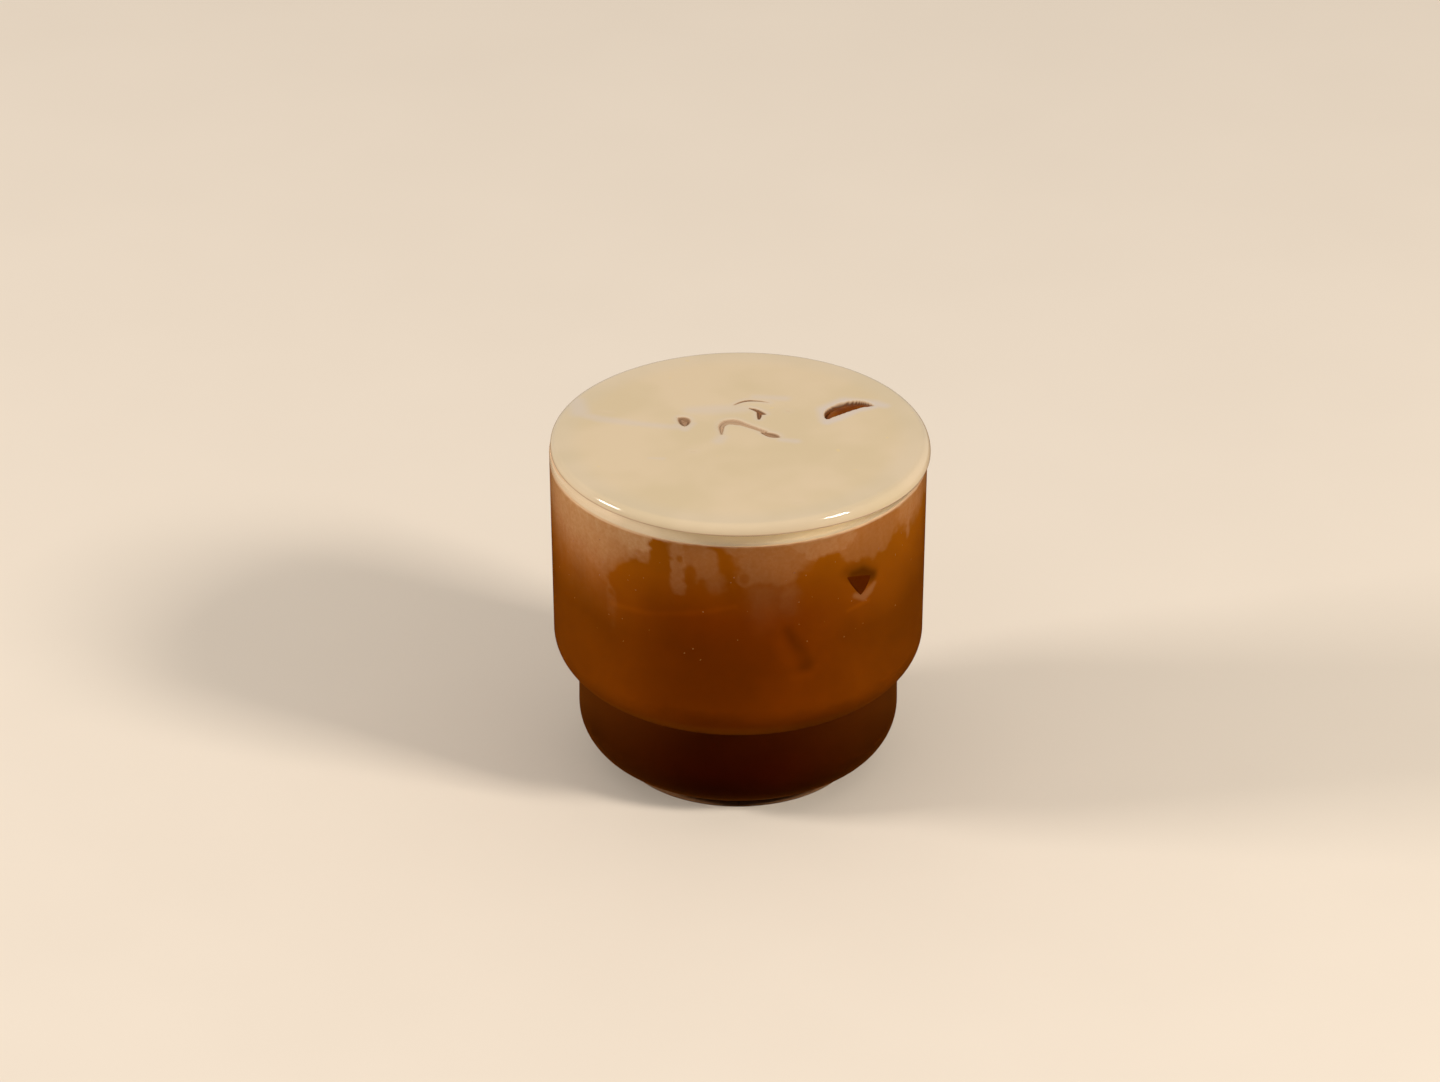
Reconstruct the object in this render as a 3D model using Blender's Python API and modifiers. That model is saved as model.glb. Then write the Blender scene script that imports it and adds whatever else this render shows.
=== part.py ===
"""An iced coffee in its stackable glass: filled to the brim, under a domed cap of foam,
with blocks of ice whose edges come up through the foam.

Metres, +Z up. The origin is the middle of the base, on the table.
"""

import math

import bmesh
import bpy
from mathutils import Matrix, Vector

# Outside of the glass
RIM_RADIUS = 0.0440
GLASS_HEIGHT = 0.0812
WALL = 0.0026
WAIST_RADIUS = 0.0432
WAIST_Z = 0.0340
BELLY_ARC = (0.0181, 0.0122)
FOOT_RADIUS = 0.0374
FOOT_ARC = (0.0113, 0.0114)
FOOT_ARC_Z = 0.0140
HEEL_RADIUS = 0.0278
HEEL_ROUND = 0.0007
PUNT_RADIUS = 0.0190
PUNT_DEPTH = 0.0016
PUNT_SHOULDER_R = PUNT_RADIUS * 0.85
PUNT_SHOULDER_Z = PUNT_DEPTH * 0.7

# Inside of the glass
BOWL_BELLY_ARC = (0.0155, 0.0096)
BOWL_FOOT_RADIUS = 0.0350
BOWL_FOOT_ROUND = 0.0093
BOWL_FLOOR_Z = 0.0042

# Drink and foam
GAP = 0.0003
COFFEE_TOP_Z = 0.0777
FOAM_EDGE_ROUND = 0.0019
FOAM_EDGE_Z = GLASS_HEIGHT + 0.0004
FOAM_CROWN = 0.0004
FOAM_LIP_ANGLE = -5
FOAM_LIP_FROM_RADIUS = RIM_RADIUS - 0.0002
RIM_CONTACT_ANGLE = 60

# The cap isn't quite even. Directions are in degrees, 0 at the right and -90 at the front
HEAP = 0.0006
HEAP_ANGLE = -50
OVERHANG = 0.0010
SAG = 0.0008
OVERHANG_ANGLE = -22
OVERHANG_SPREAD = 55
INSET = 0.0004
INSET_ANGLE = -150
INSET_SPREAD = 75
EDGE_FROM_RADIUS = 0.0400

# Ice: how its edges are rounded, and how far its corners are off true
ICE_ROUND = 0.0028
ICE_ROUND_SEGMENTS = 3
ICE_UNEVEN = 0.0006
CORNER_PHASES = Vector((1.7, 2.9, 4.3))

# Each block: its size, its turn about Z, its lean about its own X and roll about its own Y,
# the place in plan of its highest point, and how far that point rises above the foam
ICE_BLOCKS = {
    "ice_right": ((0.0150, 0.0150, 0.0190), 33, 27, 4, (0.0215, 0.0117), 0.0009),
    "ice_middle": ((0.0220, 0.0200, 0.0200), -24, 12, 6, (-0.0004, 0.0060), 0.0008),
    "ice_back": ((0.0130, 0.0096, 0.0130), -5, 15, 3, (0.0012, 0.0169), 0.0006),
    "ice_left": ((0.0190, 0.0180, 0.0180), -4, 10, -12, (-0.0150, 0.0064), 0.0007),
}

# How finely curves are cut, and where the foam's top has rings, as shares of its flat radius
TURN_STEPS = 60
ARC_STEP = 14
TOP_RINGS = (0.0, 0.3, 0.55, 0.78)

# Colour, roughness and metallic value of each material
FINISHES = {
    "clear_glass": ((0.86, 0.86, 0.84, 1.0), 0.08, 0.0),
    "iced_coffee": ((0.115, 0.024, 0.003, 1.0), 0.15, 0.0),
    "coffee_foam": ((0.69, 0.53, 0.35, 1.0), 0.35, 0.0),
    "wet_ice": ((0.30, 0.14, 0.06, 1.0), 0.08, 0.0),
}


def clear_scene():
    """Remove whatever objects the file opened with."""
    for obj in list(bpy.data.objects):
        bpy.data.objects.remove(obj, do_unlink=True)


def new_collection(name):
    """A collection linked to the scene."""
    collection = bpy.data.collections.new(name)
    bpy.context.scene.collection.children.link(collection)
    return collection


def new_object(name, mesh, collection):
    """An object of the mesh, linked to one collection."""
    obj = bpy.data.objects.new(name, mesh)
    collection.objects.link(obj)
    return obj


def make_material(name):
    """A Principled material with the finish of that name."""
    colour, roughness, metallic = FINISHES[name]
    material = bpy.data.materials.new(name)
    material.use_nodes = True
    shader = material.node_tree.nodes["Principled BSDF"]
    shader.inputs["Base Color"].default_value = colour
    shader.inputs["Roughness"].default_value = roughness
    shader.inputs["Metallic"].default_value = metallic
    return material


def arc(centre, radii, start, end):
    """Points of an elliptic arc in (radius, height). 0 degrees points outwards, 90 degrees up."""
    count = max(2, round(abs(end - start) / ARC_STEP))
    points = []
    for i in range(count + 1):
        angle = math.radians(start + (end - start) * i / count)
        r = centre[0] + radii[0] * math.cos(angle)
        z = centre[1] + radii[1] * math.sin(angle)
        points.append((r, z))
    return points


def angle_at_radius(centre_r, radius_r, r):
    """The angle below the horizontal at which an arc has come in to radius r, in degrees."""
    return math.degrees(math.acos((r - centre_r) / radius_r))


def bowl_wall_radius(z):
    """The inner radius of the straight upper wall, which follows the outside's slight taper."""
    share = (z - WAIST_Z) / (GLASS_HEIGHT - WAIST_Z)
    return WAIST_RADIUS + (RIM_RADIUS - WAIST_RADIUS) * share - WALL


def bowl_profile(top_z, gap):
    """The inside of the glass from top_z down to the middle of its floor, drawn in by gap."""
    belly_centre = (WAIST_RADIUS - WALL - BOWL_BELLY_ARC[0], WAIST_Z)
    belly_radii = (BOWL_BELLY_ARC[0] - gap, BOWL_BELLY_ARC[1] - gap)
    foot_r = BOWL_FOOT_RADIUS - gap
    belly_end = angle_at_radius(belly_centre[0], belly_radii[0], foot_r)
    foot_centre = (BOWL_FOOT_RADIUS - BOWL_FOOT_ROUND, BOWL_FLOOR_Z + BOWL_FOOT_ROUND)
    foot_radii = (BOWL_FOOT_ROUND - gap, BOWL_FOOT_ROUND - gap)
    points = [(bowl_wall_radius(top_z) - gap, top_z)]
    points += arc(belly_centre, belly_radii, 0, -belly_end)
    points += arc(foot_centre, foot_radii, 0, -90)
    points.append((0.0, BOWL_FLOOR_Z + gap))
    return points


def rim_centre():
    """The middle of the half round on top of the wall, in (radius, height)."""
    return (RIM_RADIUS - WALL / 2, GLASS_HEIGHT - WALL / 2)


def outside_profile():
    """The outside of the glass from below the rim down to the middle of its base."""
    belly_centre = (WAIST_RADIUS - BELLY_ARC[0], WAIST_Z)
    belly_end = angle_at_radius(belly_centre[0], BELLY_ARC[0], FOOT_RADIUS)
    foot_centre = (FOOT_RADIUS - FOOT_ARC[0], FOOT_ARC_Z)
    foot_end = angle_at_radius(foot_centre[0], FOOT_ARC[0], HEEL_RADIUS)
    heel_centre = (HEEL_RADIUS - HEEL_ROUND, HEEL_ROUND)
    points = arc(belly_centre, BELLY_ARC, 0, -belly_end)
    points += arc(foot_centre, FOOT_ARC, 0, -foot_end)
    points += arc(heel_centre, (HEEL_ROUND, HEEL_ROUND), 0, -90)
    points.append((PUNT_RADIUS, 0.0))
    points.append((PUNT_SHOULDER_R, PUNT_SHOULDER_Z))
    points.append((0.0, PUNT_DEPTH))
    return points


def glass_profile():
    """The whole wall: up the inside, over the rim and down the outside."""
    rim = rim_centre()
    inside = bowl_profile(rim[1], 0.0)
    inside.reverse()
    over_rim = arc(rim, (WALL / 2, WALL / 2), 180, 0)[1:]
    return inside + over_rim + outside_profile()


def coffee_profile():
    """The drink: a level top, and the inside of the glass less a gap."""
    return [(0.0, COFFEE_TOP_Z)] + bowl_profile(COFFEE_TOP_Z, GAP)


def foam_top_z(r):
    """The height of the foam's gently crowned top at radius r, before it is heaped to one side."""
    flat_r = RIM_RADIUS - FOAM_EDGE_ROUND
    share = min(r / flat_r, 1.0)
    return FOAM_EDGE_Z + FOAM_EDGE_ROUND + FOAM_CROWN * (1 - share ** 2)


def heap_at(x, y):
    """How much higher than level the foam stands at a place in plan."""
    angle = math.radians(HEAP_ANGLE)
    return HEAP * (x * math.cos(angle) + y * math.sin(angle)) / RIM_RADIUS


def foam_profile():
    """The foam: crowned top, round edge, over the rim and down inside it to the drink."""
    edge_centre = (RIM_RADIUS - FOAM_EDGE_ROUND, FOAM_EDGE_Z)
    edge_radii = (FOAM_EDGE_ROUND, FOAM_EDGE_ROUND)
    rim_radii = (WALL / 2 + GAP, WALL / 2 + GAP)
    bottom_z = COFFEE_TOP_Z + GAP
    top_radii = [edge_centre[0] * share for share in TOP_RINGS]
    points = [(r, foam_top_z(r)) for r in top_radii]
    points += arc(edge_centre, edge_radii, 90, FOAM_LIP_ANGLE)
    points += arc(rim_centre(), rim_radii, RIM_CONTACT_ANGLE, 180)
    points.append((bowl_wall_radius(bottom_z) - GAP, bottom_z))
    points.append((0.0, bottom_z))
    return points


def turned(name, profile, collection):
    """The profile, drawn at +X from top to bottom of its outer side, turned about Z."""
    mesh = bpy.data.meshes.new(name)
    points = [(r, 0.0, z) for r, z in profile]
    edges = [(i, i + 1) for i in range(len(points) - 1)]
    mesh.from_pydata(points, edges, [])
    obj = new_object(name, mesh, collection)
    screw = obj.modifiers.new("Turn", "SCREW")
    screw.axis = "Z"
    screw.angle = math.radians(360)
    screw.steps = TURN_STEPS
    screw.render_steps = TURN_STEPS
    screw.use_merge_vertices = True
    screw.merge_threshold = 0.00001
    screw.use_smooth_shade = True
    return obj


def apply_modifiers(obj):
    """Give the object its evaluated mesh, so that its points can be moved by a rule."""
    evaluated = obj.evaluated_get(bpy.context.evaluated_depsgraph_get())
    mesh = bpy.data.meshes.new_from_object(evaluated)
    obj.modifiers.clear()
    obj.data = mesh


def bump_towards(x, y, size, angle, spread):
    """A smooth bump round the rim: size in one direction, and nothing past spread degrees from it."""
    away = (math.degrees(math.atan2(y, x)) - angle + 180) % 360 - 180
    if abs(away) >= spread:
        return 0.0
    return size * (1 + math.cos(math.pi * away / spread)) / 2


def edge_shift(x, y):
    """How far the foam's edge lies outside the rim in a direction, or inside it where negative."""
    outwards = bump_towards(x, y, OVERHANG, OVERHANG_ANGLE, OVERHANG_SPREAD)
    return outwards - bump_towards(x, y, INSET, INSET_ANGLE, INSET_SPREAD)


def height_shift(x, y, z):
    """How far a point of the cap is heaped up, or has sagged over the rim where negative."""
    if z < FOAM_EDGE_Z and math.hypot(x, y) < FOAM_LIP_FROM_RADIUS:
        return 0.0
    share_up = min((z - FOAM_EDGE_Z) / FOAM_EDGE_ROUND, 1.0)
    share_up = max(share_up, 0.0)
    sag = bump_towards(x, y, SAG, OVERHANG_ANGLE, OVERHANG_SPREAD)
    return heap_at(x, y) * share_up - sag * (1 - share_up)


def shape_foam_cap(foam):
    """Heap the cap to one side, hang it over the rim at the right and draw it in at the left."""
    apply_modifiers(foam)
    for vertex in foam.data.vertices:
        x, y, z = vertex.co
        if z < GLASS_HEIGHT:
            continue
        vertex.co.z = z + height_shift(x, y, z)
        r = math.hypot(x, y)
        if r < EDGE_FROM_RADIUS:
            continue
        share_out = (r - EDGE_FROM_RADIUS) / (RIM_RADIUS - EDGE_FROM_RADIUS)
        scale = 1 + edge_shift(x, y) * min(share_out, 1.0) / r
        vertex.co.x = x * scale
        vertex.co.y = y * scale


def block_turn(turn, lean, roll):
    """The rotation of a block: lean and roll about its own axes, then the turn about Z."""
    about_z = Matrix.Rotation(math.radians(turn), 3, "Z")
    about_x = Matrix.Rotation(math.radians(lean), 3, "X")
    about_y = Matrix.Rotation(math.radians(roll), 3, "Y")
    return about_z @ about_x @ about_y


def block_centre(size, rotation, shows_at, rises):
    """Where the block's middle lies if its highest point is at shows_at and rises above the foam."""
    to_top = Vector()
    for axis in range(3):
        side = 1 if rotation[2][axis] > 0 else -1
        to_top += rotation.col[axis] * side * (size[axis] / 2 - ICE_ROUND)
    top_z = foam_top_z(math.hypot(*shows_at)) + heap_at(*shows_at) + rises
    top_ball = Vector((shows_at[0], shows_at[1], top_z - ICE_ROUND))
    return top_ball - to_top


def uneven_corner(corner):
    """A small fixed shift that keeps a block's corner from being square."""
    phase = corner.dot(CORNER_PHASES)
    shift = (math.sin(phase), math.sin(2 * phase + 1), math.sin(3 * phase + 2))
    return Vector(shift) * ICE_UNEVEN


def ice_block(block, name, collection, margin):
    """A melted block with rounded edges, grown on every side by margin."""
    size, turn, lean, roll, shows_at, rises = ICE_BLOCKS[block]
    rotation = block_turn(turn, lean, roll)
    bm = bmesh.new()
    bmesh.ops.create_cube(bm, size=2.0)
    for vertex in bm.verts:
        corner = vertex.co.copy()
        half = [corner[axis] * (size[axis] / 2 + margin) for axis in range(3)]
        vertex.co = Vector(half) + uneven_corner(corner)
    mesh = bpy.data.meshes.new(name)
    bm.to_mesh(mesh)
    bm.free()
    mesh.shade_smooth()
    obj = new_object(name, mesh, collection)
    obj.location = block_centre(size, rotation, shows_at, rises)
    obj.rotation_euler = rotation.to_euler()
    bevel = obj.modifiers.new("Melted edges", "BEVEL")
    bevel.width = ICE_ROUND + margin
    bevel.segments = ICE_ROUND_SEGMENTS
    bevel.limit_method = "NONE"
    return obj


def make_cutters(collection):
    """The hollows that the ice takes up in drink and foam."""
    for name in ICE_BLOCKS:
        cutter = ice_block(name, name + "_hollow", collection, GAP)
        cutter.hide_render = True
        cutter.display_type = "WIRE"


def cut_round_ice(obj, cutters):
    """Cut the hollows of the ice out of the object."""
    cut = obj.modifiers.new("Round the ice", "BOOLEAN")
    cut.operation = "DIFFERENCE"
    cut.operand_type = "COLLECTION"
    cut.collection = cutters
    cut.solver = "EXACT"


def build():
    """Make the glass, the drink, the foam and the ice."""
    clear_scene()
    parts = new_collection("iced_coffee_in_glass")
    cutters = new_collection("cutters")
    make_cutters(cutters)

    glass = turned("glass", glass_profile(), parts)
    glass.data.materials.append(make_material("clear_glass"))

    coffee = turned("coffee", coffee_profile(), parts)
    coffee.data.materials.append(make_material("iced_coffee"))
    cut_round_ice(coffee, cutters)

    foam = turned("foam", foam_profile(), parts)
    shape_foam_cap(foam)
    foam.data.materials.append(make_material("coffee_foam"))
    cut_round_ice(foam, cutters)

    wet_ice = make_material("wet_ice")
    for name in ICE_BLOCKS:
        block = ice_block(name, name, parts, 0.0)
        block.data.materials.append(wet_ice)


build()
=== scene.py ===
# %% [markdown]
# # An iced coffee under a cap of foam, in a stackable glass
# The solid model of the drink was made first, and it is loaded here as a fixed frame. This script
# only dresses it: it makes the fine surfaces, the finishes, the light and the camera. Everything
# is in metres, +Z is up, and the middle of the glass's base is the origin.

# %% Load the solid model
import math

import bmesh
import bpy
import numpy as np
from mathutils import Matrix, Vector, noise


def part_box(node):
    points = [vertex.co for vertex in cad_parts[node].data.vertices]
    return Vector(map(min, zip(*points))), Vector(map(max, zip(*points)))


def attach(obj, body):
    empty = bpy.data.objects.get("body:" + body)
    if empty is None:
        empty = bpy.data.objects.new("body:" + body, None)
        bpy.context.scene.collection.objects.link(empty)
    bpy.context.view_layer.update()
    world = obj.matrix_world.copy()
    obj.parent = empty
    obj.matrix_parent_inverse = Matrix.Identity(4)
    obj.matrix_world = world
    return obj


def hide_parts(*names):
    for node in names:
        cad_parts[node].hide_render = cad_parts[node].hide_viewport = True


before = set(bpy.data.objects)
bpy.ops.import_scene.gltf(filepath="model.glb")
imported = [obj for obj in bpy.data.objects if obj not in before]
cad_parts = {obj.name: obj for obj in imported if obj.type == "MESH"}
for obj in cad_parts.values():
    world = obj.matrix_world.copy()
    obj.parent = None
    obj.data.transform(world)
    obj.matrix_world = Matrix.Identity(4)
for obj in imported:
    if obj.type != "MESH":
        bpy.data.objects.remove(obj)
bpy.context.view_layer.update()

print("solid pieces:", sorted(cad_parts))

# %% [markdown]
# ## Sizes
# The glass is a turned piece, so a few radii and heights describe it. Those that the solid model
# can tell are read from its boxes. The others are the same driving sizes that it was made from.

# %% Sizes of the glass and the drink
MM = 0.001
glass_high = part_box("glass")[1]
coffee_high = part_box("coffee")[1]

RIM_RADIUS = glass_high.x
GLASS_HEIGHT = glass_high.z
WALL = 2.6 * MM
WAIST_RADIUS = 43.2 * MM
WAIST_Z = 34.0 * MM
COFFEE_TOP_Z = coffee_high.z
BOWL_FLOOR_Z = 4.2 * MM
print("rim radius", round(RIM_RADIUS / MM, 2), "mm, height", round(GLASS_HEIGHT / MM, 2), "mm")

# %% [markdown]
# ## The camera
# The photograph was taken from far away with a long lens, looking down at 29 degrees. Here the
# camera is built from that: it starts at the middle of the drink, steps back along its own view
# line, and then moves a little sideways and up, so that the drink lies where the photograph has
# it. Moving the camera keeps the lens's shift at zero.

# %% Camera
CAMERA_TILT = math.radians(28.97)
CAMERA_DISTANCE = 2.5
PIXELS_PER_MM = 4.268
IMAGE_WIDTH = 1440
SENSOR_WIDTH = 36.0
AIM_LEFT = 4.26 * MM
AIM_UP = 13.37 * MM


def add_object(name, data):
    """A new object of that mesh, light, curve or camera in the scene."""
    thing = bpy.data.objects.new(name, data)
    bpy.context.scene.collection.objects.link(thing)
    return thing


camera_data = bpy.data.cameras.new("camera")
camera_data.sensor_width = SENSOR_WIDTH
camera_data.lens = PIXELS_PER_MM / MM * CAMERA_DISTANCE * SENSOR_WIDTH / IMAGE_WIDTH
camera_data.clip_end = 20.0
camera = add_object("camera", camera_data)

view_line = Vector((0, math.cos(CAMERA_TILT), -math.sin(CAMERA_TILT)))
view_up = Vector((0, math.sin(CAMERA_TILT), math.cos(CAMERA_TILT)))
middle = Vector((0, 0, GLASS_HEIGHT / 2))
camera.location = middle - view_line * CAMERA_DISTANCE + view_up * AIM_UP - Vector((AIM_LEFT, 0, 0))
camera.rotation_euler = (math.pi / 2 - CAMERA_TILT, 0, 0)
bpy.context.scene.camera = camera
print("lens", round(camera_data.lens, 1), "mm, from", round(CAMERA_DISTANCE, 2), "m")

# %% [markdown]
# ## Small helpers for materials
# A material in Blender is a graph of nodes. These helpers make a node, feed one socket from
# another, set plain values and mix two colours, so that each finish below reads as a short list
# of steps.

# %% Material helpers
def new_material(name):
    """A material, its node graph and its Principled shader."""
    material = bpy.data.materials.new(name)
    material.use_nodes = True
    nodes = material.node_tree.nodes
    return material, material.node_tree, nodes["Principled BSDF"]


def add_node(tree, kind, **settings):
    """A node of that kind. Settings that name one of its inputs fill that input."""
    node = tree.nodes.new("ShaderNode" + kind)
    for key, value in settings.items():
        if hasattr(node, key):
            setattr(node, key, value)
        else:
            node.inputs[key.replace("_", " ")].default_value = value
    return node


def feed(tree, source, target):
    """Link an output socket to an input socket, or set the input to a plain value."""
    if isinstance(source, (int, float, tuple)):
        target.default_value = source
    else:
        tree.links.new(source, target)


def set_sockets(tree, shader, **settings):
    """Feed the shader's own sockets, each from another socket or with a plain value."""
    for key, value in settings.items():
        feed(tree, value, shader.inputs[key.replace("_", " ")])


def linear(r, g, b):
    """A colour given as it is seen on a screen, 0 to 255, in the light values a shader works in."""
    seen = [channel / 255 for channel in (r, g, b)]
    light = [c / 12.92 if c <= 0.04045 else ((c + 0.055) / 1.055) ** 2.4 for c in seen]
    return (*light, 1.0)


def mix_colours(tree, share, first, second):
    """A colour between two others: the first where share is 0, the second where it is 1."""
    node = add_node(tree, "Mix", data_type="RGBA")
    feed(tree, share, node.inputs["Factor"])
    feed(tree, first, node.inputs["A"])
    feed(tree, second, node.inputs["B"])
    return node.outputs["Result"]


def seen_between(tree, share, colours, paint=linear):
    """A colour between the first two of a list, given as they are seen."""
    return mix_colours(tree, share, paint(*colours[0]), paint(*colours[1]))


def calculate(tree, operation, first, second):
    """The result of one operation on two numbers."""
    node = add_node(tree, "Math", operation=operation)
    feed(tree, first, node.inputs[0])
    feed(tree, second, node.inputs[1])
    return node.outputs[0]


def fade(tree, value, low, high, start=0.0, end=1.0):
    """A smooth step: start where value is at low or under, end where it is at high or over."""
    node = add_node(tree, "MapRange", interpolation_type="SMOOTHSTEP")
    feed(tree, value, node.inputs["Value"])
    for key, number in zip(("From Min", "From Max", "To Min", "To Max"), (low, high, start, end)):
        node.inputs[key].default_value = number
    return node.outputs["Result"]


def place_in_object(tree):
    """The place of the shaded point on the object itself, in metres."""
    return add_node(tree, "TexCoord").outputs["Object"]


def speckle(tree, place, size, detail=2.0):
    """Cloudy noise between 0 and 1, with blotches of about that size in metres."""
    node = add_node(tree, "TexNoise", Scale=1 / size, Detail=detail, Roughness=0.5)
    feed(tree, place, node.inputs["Vector"])
    return node.outputs["Fac"]


def bump(tree, shader, height, depth):
    """Relief too fine to model, as deep as depth, on the shader's normal."""
    node = add_node(tree, "Bump", Strength=1.0, Distance=depth)
    feed(tree, height, node.inputs["Height"])
    feed(tree, node.outputs["Normal"], shader.inputs["Normal"])


# %% [markdown]
# ## The floor
# The drink stands on a plain pale floor. A large flat sheet is enough, with two nearly equal
# colours in slow blotches, so that it isn't dead even. Towards its edges clear glass mirrors what
# lies low round it, and a pale floor would turn the sides of the glass grey. The photograph shows
# nothing of the kind, so the floor is hidden from mirrored light, and only from that.

# %% Floor
FLOOR_SIZE = 8.0
FLOOR_BLOTCHES = 0.05
FLOOR_COLOURS = ((214, 201, 185), (218, 205, 189))


def make_floor():
    """A large plain sheet, with the very slight unevenness of painted board."""
    bpy.ops.mesh.primitive_plane_add(size=FLOOR_SIZE)
    floor = bpy.context.object
    floor.name = "floor"
    material, tree, shader = new_material("pale_floor")
    blotches = speckle(tree, place_in_object(tree), FLOOR_BLOTCHES)
    colour = seen_between(tree, blotches, FLOOR_COLOURS)
    set_sockets(tree, shader, Base_Color=colour, Roughness=0.9, Specular_IOR_Level=0.2)
    floor.data.materials.append(material)
    floor.visible_glossy = False
    return floor


floor = make_floor()
print("floor", FLOOR_SIZE, "m wide")

# %% [markdown]
# ## Light
# The light of the photograph falls from the right and the front. A soft box there, a weaker one
# at the left and a pale sky give the same modelling without a hard shadow. Both boxes are mirrored
# in the round edge of the foam. They aren't seen by light that has come through the glass, because
# the glass casts no shadow, and their light would reach the drink twice. Below the horizon the sky
# is a brown like the drink's own, and that is what the edges of the glass mirror.

# %% Light
# Between these heights of the direction looked in, 0 being level, the ground turns into sky
HORIZON = (-0.24, -0.12)


def add_soft_box(name, towards, distance, width, height, power, colour):
    """A flat light of that width and height that faces the middle of the drink from a direction."""
    data = bpy.data.lights.new(name, "AREA")
    data.shape = "RECTANGLE"
    data.size = width
    data.size_y = height
    data.energy = power
    data.color = colour
    light = add_object(name, data)
    light.visible_transmission = False
    direction = Vector(towards).normalized()
    light.location = middle + direction * distance
    light.rotation_euler = direction.to_track_quat("Z", "Y").to_euler()


def direction_from(azimuth, height):
    """A unit vector. Azimuth 0 is the photograph's right and -90 its front; height is in degrees."""
    a = math.radians(azimuth)
    h = math.radians(height)
    return Vector((math.cos(a) * math.cos(h), math.sin(a) * math.cos(h), math.sin(h)))


def add_sky(strength, colour, ground):
    """Even light from all round, and the colour of the ground below the horizon."""
    world = bpy.data.worlds.new("sky")
    world.use_nodes = True
    tree = world.node_tree
    parts = add_node(tree, "SeparateXYZ")
    feed(tree, add_node(tree, "TexCoord").outputs["Generated"], parts.inputs[0])
    above = fade(tree, parts.outputs["Z"], *HORIZON)
    background = tree.nodes["Background"]
    feed(tree, mix_colours(tree, above, ground, colour), background.inputs["Color"])
    background.inputs["Strength"].default_value = strength
    bpy.context.scene.world = world


add_soft_box("key", direction_from(-28, 36), distance=1.5, width=0.30, height=0.30,
             power=17.5, colour=(1.0, 0.95, 0.88))
add_soft_box("left", direction_from(185, 24), distance=1.4, width=0.36, height=0.18,
             power=13.5, colour=(1.0, 0.96, 0.92))
add_sky(strength=0.54, colour=(1.0, 0.98, 0.95, 1.0), ground=linear(120, 62, 16))
bpy.context.scene.view_settings.view_transform = "Standard"

# %% [markdown]
# ## Turned pieces
# The glass, the drink in it and the foam on it are all turned. A turned piece is a flat profile
# and a Screw modifier that sweeps it round. The profile runs down the outer side from top to
# bottom, so that the faces look outwards. The modifier is applied, so that points can then be
# moved by a rule.

# %% Turned pieces
def arc(centre, radii, start, end, step=3.0):
    """Points of an elliptic arc in (radius, height). 0 degrees points outwards, 90 degrees up."""
    count = max(2, round(abs(end - start) / step))
    angles = [math.radians(start + (end - start) * i / count) for i in range(count + 1)]
    return [(centre[0] + radii[0] * math.cos(a), centre[1] + radii[1] * math.sin(a)) for a in angles]


def straight(first, last, step):
    """Points from first to last in steps of about that length, both ends in."""
    count = max(1, round(math.dist(first, last) / step))
    shares = [i / count for i in range(count + 1)]
    return [tuple(a + (b - a) * s for a, b in zip(first, last)) for s in shares]


def finished_mesh(piece):
    """A mesh of the piece as its modifiers or its curve make it."""
    evaluated = piece.evaluated_get(bpy.context.evaluated_depsgraph_get())
    return bpy.data.meshes.new_from_object(evaluated)


def turned(name, profile, steps):
    """The profile turned about Z into a smooth closed mesh."""
    mesh = bpy.data.meshes.new(name)
    edges = [(i, i + 1) for i in range(len(profile) - 1)]
    mesh.from_pydata([(r, 0.0, z) for r, z in profile], edges, [])
    piece = add_object(name, mesh)
    screw = piece.modifiers.new("turn", "SCREW")
    screw.steps = steps
    screw.render_steps = steps
    screw.use_merge_vertices = True
    screw.merge_threshold = 0.001 * MM
    piece.data = finished_mesh(piece)
    piece.modifiers.clear()
    piece.data.shade_smooth()
    return piece


def keep(piece, node):
    """Let the piece ride on the one body and stand for its solid node."""
    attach(piece, "root")
    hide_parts(node)
    print(piece.name, len(piece.data.polygons), "faces")


# %% [markdown]
# ## The glass
# It is a pressed tumbler: a wide upper wall, a belly that curves in to a sharp crease, a narrower
# foot with a big rounded edge, and a low heel. Its solid has 60 flat sides, which would show in
# what the glass bends and mirrors, so it is turned again with fine steps from the same sizes.

# %% Shape of the glass
BELLY_ARC = (18.1 * MM, 12.2 * MM)
FOOT_RADIUS = 37.4 * MM
FOOT_ARC = (11.3 * MM, 11.4 * MM)
FOOT_ARC_Z = 14.0 * MM
HEEL_RADIUS = 27.8 * MM
HEEL_ROUND = 0.7 * MM
PUNT_RADIUS = 19.0 * MM
PUNT_DEPTH = 1.6 * MM
BOWL_BELLY_ARC = (15.5 * MM, 9.6 * MM)
BOWL_FOOT_RADIUS = 35.0 * MM
BOWL_FOOT_ROUND = 9.3 * MM
GLASS_STEPS = 256
RIM = (RIM_RADIUS - WALL / 2, GLASS_HEIGHT - WALL / 2)


def angle_at_radius(centre_r, radius_r, r):
    """The angle below the horizontal at which an arc has come in to radius r, in degrees."""
    return math.degrees(math.acos((r - centre_r) / radius_r))


def bowl_wall_radius(z):
    """The inner radius of the straight upper wall, which follows the outside's slight taper."""
    share = (z - WAIST_Z) / (GLASS_HEIGHT - WAIST_Z)
    return WAIST_RADIUS + (RIM_RADIUS - WAIST_RADIUS) * share - WALL


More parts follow.
